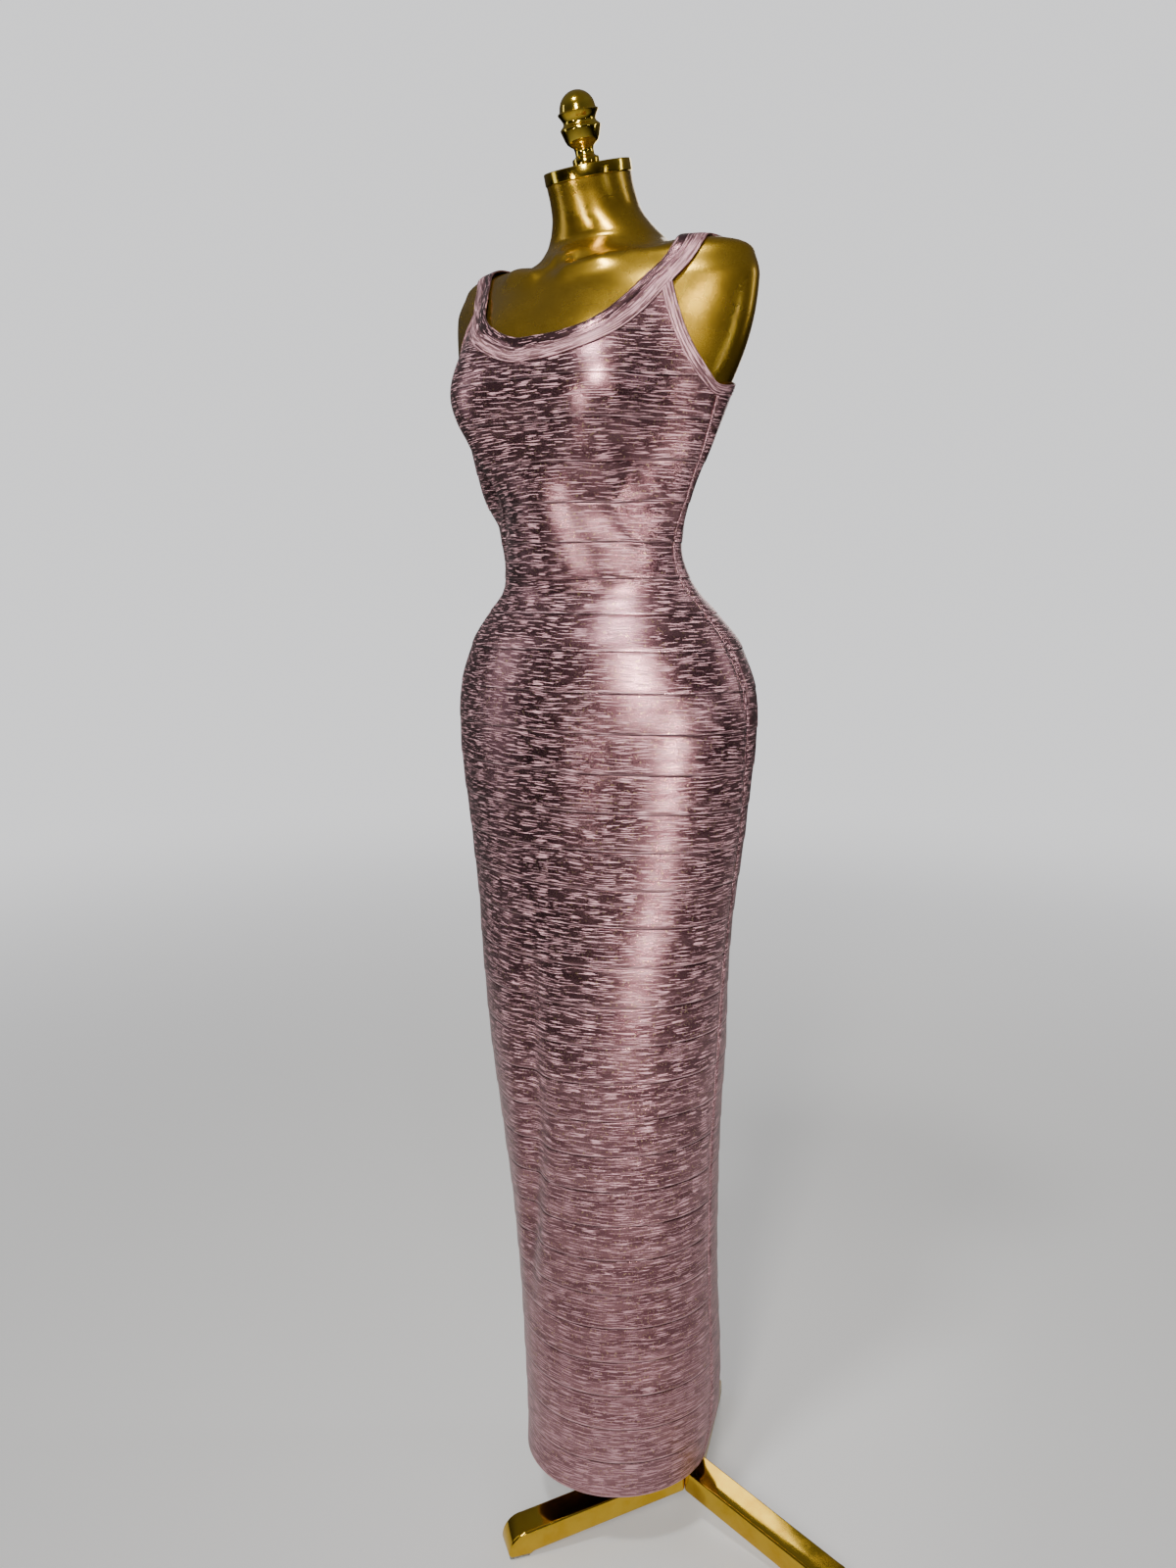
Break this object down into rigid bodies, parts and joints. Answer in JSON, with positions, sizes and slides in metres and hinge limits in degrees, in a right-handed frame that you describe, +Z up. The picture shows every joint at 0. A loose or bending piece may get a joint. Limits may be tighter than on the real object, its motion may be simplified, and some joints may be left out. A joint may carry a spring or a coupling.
{
  "type": "bodycon dress on a dress form",
  "caption": "Long sleeveless bandage bodycon dress with a scoop neck and wide straps, worn by a limbless dress form on a tripod base.",
  "frame": {"origin": "on the floor, under the middle of the whole object's box", "axes": "+Z up; the form's front faces -Y and its left side is +X"},
  "size_m": [0.4918, 0.4147, 1.5943],
  "materials": {
    "foil_knit": "bandage knit with a broken metallic foil print",
    "gold_lacquer": "satin gold lacquer on a moulded shell",
    "polished_gold": "mirror polished",
    "dark_steel": "plain satin",
    "clear_pad": "clear soft plastic"
  },
  "bodies": {
    "root": {"dress_front": "foil_knit", "dress_back": "foil_knit", "neck_band": "foil_knit", "armhole_band_left": "foil_knit", "armhole_band_right": "foil_knit", "form_torso": "gold_lacquer", "neck_cap": "polished_gold", "finial": "polished_gold", "pole": "dark_steel", "leg_1": "polished_gold", "leg_2": "polished_gold", "leg_3": "polished_gold", "foot_pad_1": "clear_pad", "foot_pad_2": "clear_pad", "foot_pad_3": "clear_pad"}
  },
  "joints": []
}
